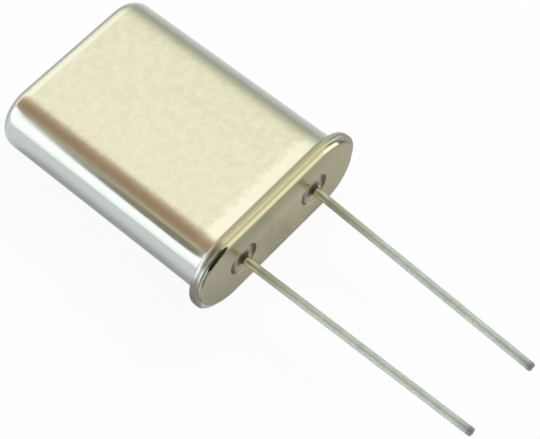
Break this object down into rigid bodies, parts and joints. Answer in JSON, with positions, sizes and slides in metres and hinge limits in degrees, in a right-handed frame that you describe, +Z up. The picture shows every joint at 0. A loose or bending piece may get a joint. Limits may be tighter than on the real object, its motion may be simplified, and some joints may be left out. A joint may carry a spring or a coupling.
{
  "type": "quartz crystal unit",
  "caption": "Sealed oval metal can on a pressed base plate, with wire leads in glass seals and a quartz disc held on spring clips inside; it sets the pace of an oscillator circuit.",
  "frame": {"origin": "on the surface that the unit lies on, below the middle of its bounding box", "axes": "+X along the length, from the can's closed end towards the lead tips; +Y across the width, towards the lead that leans inwards most; +Z up from the broad side that the can lies on"},
  "size_m": [0.027, 0.011, 0.0047],
  "materials": {
    "can_sheet": "satin nickel, warm",
    "base_metal": "satin nickel plate, slightly dull",
    "seal_glass": "dark glossy sealing glass",
    "lead_wire": "tinned wire",
    "clip_strip": "bright nickel spring strip",
    "quartz": "finely lapped quartz",
    "electrode_film": "evaporated silver film",
    "adhesive": "silver-filled adhesive"
  },
  "bodies": {
    "root": {"can": "can_sheet", "base_plate": "base_metal", "left_glass_seal": "seal_glass", "right_glass_seal": "seal_glass", "left_lead": "lead_wire", "right_lead": "lead_wire", "left_clip": "clip_strip", "right_clip": "clip_strip", "quartz_blank": "quartz", "front_electrode": "electrode_film", "back_electrode": "electrode_film", "left_adhesive_dab": "adhesive", "right_adhesive_dab": "adhesive"}
  },
  "joints": []
}
